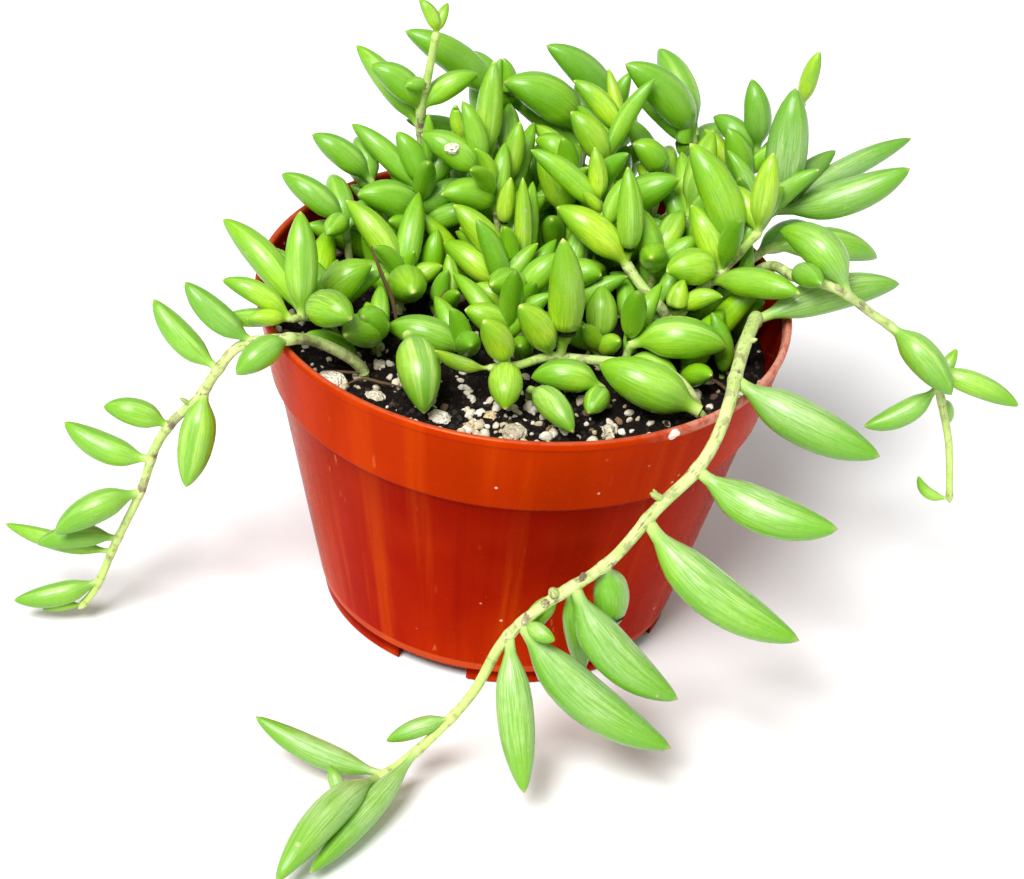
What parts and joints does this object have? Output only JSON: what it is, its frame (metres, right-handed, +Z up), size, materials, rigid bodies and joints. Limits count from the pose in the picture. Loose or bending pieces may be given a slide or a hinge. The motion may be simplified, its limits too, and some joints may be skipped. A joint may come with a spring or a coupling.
{
  "type": "potted string of fish hooks plant",
  "caption": "Trailing succulent with banana-shaped leaves in a round terracotta-coloured nursery pot, with stems that hang over the rim.",
  "frame": {"origin": "middle of the whole plant's box, on the surface that the pot stands on", "axes": "+Z up, +X to the viewer's right and the longest way across, +Y away from the viewer"},
  "size_m": [0.2023, 0.1681, 0.1178],
  "materials": {
    "terracotta_plastic": "glossy moulded plastic, worn pale along the lip",
    "potting_soil": "rough, moist and granular",
    "leaf_green": "waxy leaf with a soft sheen",
    "pumice_white": "rough and porous",
    "pumice_grey": "rough and porous",
    "pumice_tan": "rough and porous"
  },
  "bodies": {
    "root": {"pot": "terracotta_plastic", "soil": "potting_soil", "pumice_1": "pumice_white", "pumice_2": "pumice_grey", "pumice_3": "pumice_white", "pumice_4": "pumice_tan", "pumice_5": "pumice_tan", "pumice_6": "pumice_grey", "pumice_7": "pumice_white", "pumice_8": "pumice_grey", "pumice_9": "pumice_tan", "pumice_10": "pumice_grey", "trailer_front": "leaf_green", "trailer_left": "leaf_green", "rim_shoot_left": "leaf_green", "trailer_right": "leaf_green", "creeping_shoot": "leaf_green", "front_right": "leaf_green", "window_shoot": "leaf_green", "front_middle": "leaf_green", "front_low": "leaf_green", "centre_shoot": "leaf_green", "right_shoot": "leaf_green", "spotted_shoot": "leaf_green", "left_middle": "leaf_green", "left_front_a": "leaf_green", "left_front_b": "leaf_green", "long_leaf": "leaf_green", "middle_c": "leaf_green", "middle_g": "leaf_green", "middle_f": "leaf_green", "middle_e": "leaf_green", "middle_b": "leaf_green", "middle_a": "leaf_green", "middle_h": "leaf_green", "middle_i": "leaf_green", "middle_j": "leaf_green", "middle_k": "leaf_green", "centre_back_c": "leaf_green", "centre_back_b": "leaf_green", "centre_back_a": "leaf_green", "left_back_a": "leaf_green", "curl_shoot": "leaf_green", "upright_a": "leaf_green", "upright_b": "leaf_green", "middle_d": "leaf_green", "fork_shoot": "leaf_green", "left_back_b": "leaf_green", "left_back_c": "leaf_green", "tall_shoot": "leaf_green", "pale_shoot": "leaf_green", "right_back": "leaf_green", "back_e": "leaf_green", "back_d": "leaf_green", "back_c": "leaf_green", "back_b": "leaf_green", "back_a": "leaf_green", "far_right_shoot": "leaf_green"}
  },
  "joints": []
}
